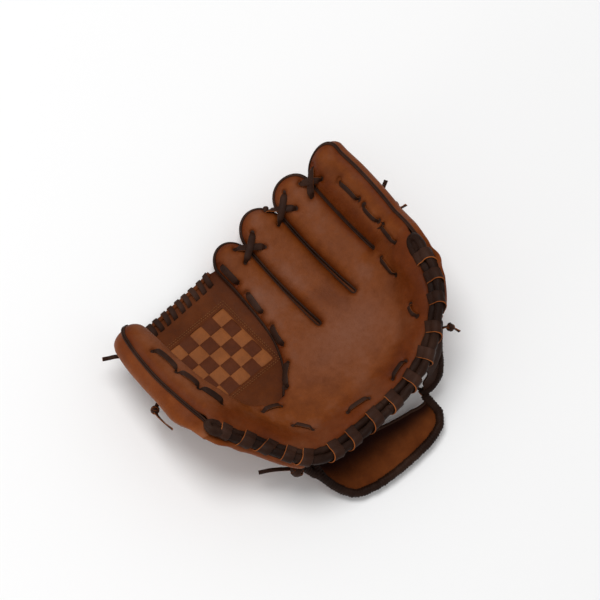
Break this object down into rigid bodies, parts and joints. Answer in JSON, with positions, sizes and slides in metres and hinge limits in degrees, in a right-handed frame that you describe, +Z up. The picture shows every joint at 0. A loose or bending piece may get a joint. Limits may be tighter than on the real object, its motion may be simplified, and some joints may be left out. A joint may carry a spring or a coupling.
{
  "type": "baseball glove",
  "caption": "Left-hand leather baseball fielder's glove with laced fingers, a woven pocket web, a bound heel and an open wrist strap, lying palm up.",
  "frame": {"origin": "middle of the footprint, on the surface the glove lies on", "axes": "+Z up, palm side up; +Y towards the fingertips; +X across the palm towards the little finger"},
  "size_m": [0.3478, 0.3013, 0.1227],
  "materials": {
    "brown_leather": "semi-gloss oiled cowhide, fine grain",
    "back_leather": "semi-gloss oiled cowhide, fine grain",
    "dark_lace": "satin charcoal-brown rawhide, orange-tan cut edges",
    "lining_leather": "matt orange-brown split leather",
    "wool_felt": "matt felt",
    "light_inlay": "semi-gloss tan leather",
    "dark_inlay": "semi-gloss dark brown leather"
  },
  "bodies": {
    "palm": {"palm_shell": "brown_leather", "palm_pad": "wool_felt", "palm_lining": "lining_leather", "index_back": "back_leather", "middle_back": "back_leather", "ring_back": "back_leather", "index_stall": "lining_leather", "middle_stall": "lining_leather", "ring_stall": "lining_leather", "hand_back": "back_leather", "index_welt": "dark_lace", "middle_welt": "dark_lace", "ring_welt": "dark_lace", "slit_welt_1": "dark_lace", "slit_welt_2": "dark_lace", "slit_welt_3": "dark_lace", "heel_roll_inner": "dark_lace", "heel_roll_outer": "dark_lace", "heel_wrap": "dark_lace", "cross_lace_1": "dark_lace", "cross_lace_2": "dark_lace", "cross_lace_3": "dark_lace", "index_edge_lace": "dark_lace", "heel_lace": "dark_lace", "heel_lace_end": "dark_lace"},
    "thumb": {"thumb_front": "brown_leather", "thumb_back": "back_leather", "thumb_stall": "lining_leather", "thumb_welt": "dark_lace", "web_panel": "brown_leather", "inlay_light_1": "light_inlay", "inlay_light_2": "light_inlay", "inlay_light_3": "light_inlay", "inlay_light_4": "light_inlay", "inlay_light_5": "light_inlay", "inlay_dark_1": "dark_inlay", "inlay_dark_2": "dark_inlay", "inlay_dark_3": "dark_inlay", "inlay_dark_4": "dark_inlay", "inlay_dark_5": "dark_inlay", "thumb_roll": "dark_lace", "thumb_wrap": "dark_lace", "thumb_lace": "dark_lace", "web_top_bead": "brown_leather", "web_top_lace": "dark_lace", "thumb_tip_lace_end": "dark_lace", "thumb_lace_end": "dark_lace", "thumb_heel_lace_end": "dark_lace"},
    "little_finger": {"little_finger_front": "brown_leather", "little_finger_back": "back_leather", "little_finger_stall": "lining_leather", "little_finger_welt": "dark_lace", "little_finger_roll": "dark_lace", "little_finger_wrap": "dark_lace", "cross_lace_4": "dark_lace", "little_finger_lace": "dark_lace", "little_finger_lace_end": "dark_lace"},
    "strap": {"wrist_strap": "brown_leather", "strap_lining": "lining_leather", "strap_binding": "dark_lace"}
  },
  "joints": [
    {"name": "thumb_fold", "type": "hinge", "parent": "palm", "child": "thumb", "pos_m": [-0.0149, 0.1271, 0.04096], "axis": [0.3197, 0.9239, -0.2099], "range_deg": [0, 20]},
    {"name": "little_finger_fold", "type": "hinge", "parent": "palm", "child": "little_finger", "pos_m": [0.11511, 0.13407, 0.0611], "axis": [-0.0653, -0.965, 0.254], "range_deg": [0, 15]},
    {"name": "strap_swing", "type": "hinge", "parent": "palm", "child": "strap", "pos_m": [-0.07376, -0.10664, 0.0248], "axis": [-0.9975, -0.007, 0.0703], "range_deg": [0, 12]}
  ]
}
